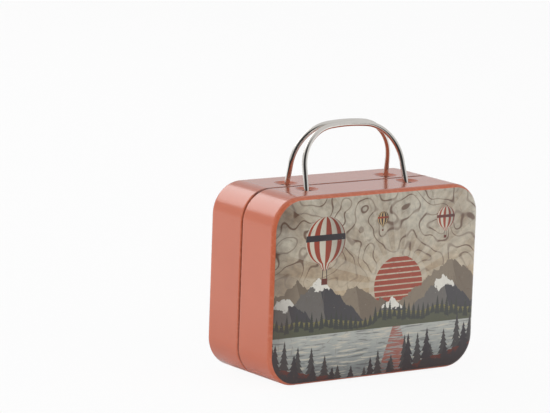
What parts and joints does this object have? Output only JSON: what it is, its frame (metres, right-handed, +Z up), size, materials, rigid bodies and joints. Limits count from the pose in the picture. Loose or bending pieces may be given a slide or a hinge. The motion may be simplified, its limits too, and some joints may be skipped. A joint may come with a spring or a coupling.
{
  "type": "metal storage box",
  "caption": "Small suitcase-shaped tin of equal drawn halves with curled rims, hinged along the bottom edge, with wire carrying handles on top.",
  "frame": {"origin": "middle of the lowest line of the hinge barrel, under the middle of the closed box", "axes": "+X along the hinge, +Y from the front face to the rear face, +Z up to the handles"},
  "size_m": [0.08, 0.035, 0.081],
  "materials": {
    "orange_lacquer": "gloss lacquer over print",
    "hinge_steel": "dull, dark",
    "pin_steel": "drawn wire",
    "rivet_steel": "plated, dull",
    "bright_wire": "bright nickel plate"
  },
  "bodies": {
    "rear_half": {"rear_shell": "orange_lacquer", "rear_hinge_leaf": "hinge_steel", "rear_hinge_rivets": "rivet_steel", "hinge_pin": "pin_steel"},
    "front_half": {"front_shell": "orange_lacquer", "front_hinge_leaf": "hinge_steel", "front_hinge_rivets": "rivet_steel"},
    "front_grip": {"front_handle": "bright_wire"},
    "rear_grip": {"rear_handle": "bright_wire"}
  },
  "joints": [
    {"name": "lid_hinge", "type": "hinge", "parent": "rear_half", "child": "front_half", "pos_m": [0, 0, 0.00085], "axis": [1, 0, 0], "range_deg": [0, 170]},
    {"name": "front_handle_swing", "type": "hinge", "parent": "front_half", "child": "front_grip", "pos_m": [0, -0.0058, 0.05878], "axis": [1, 0, 0], "range_deg": [0, 44]},
    {"name": "rear_handle_swing", "type": "hinge", "parent": "rear_half", "child": "rear_grip", "pos_m": [0, 0.0058, 0.05878], "axis": [-1, 0, 0], "range_deg": [0, 38]}
  ]
}
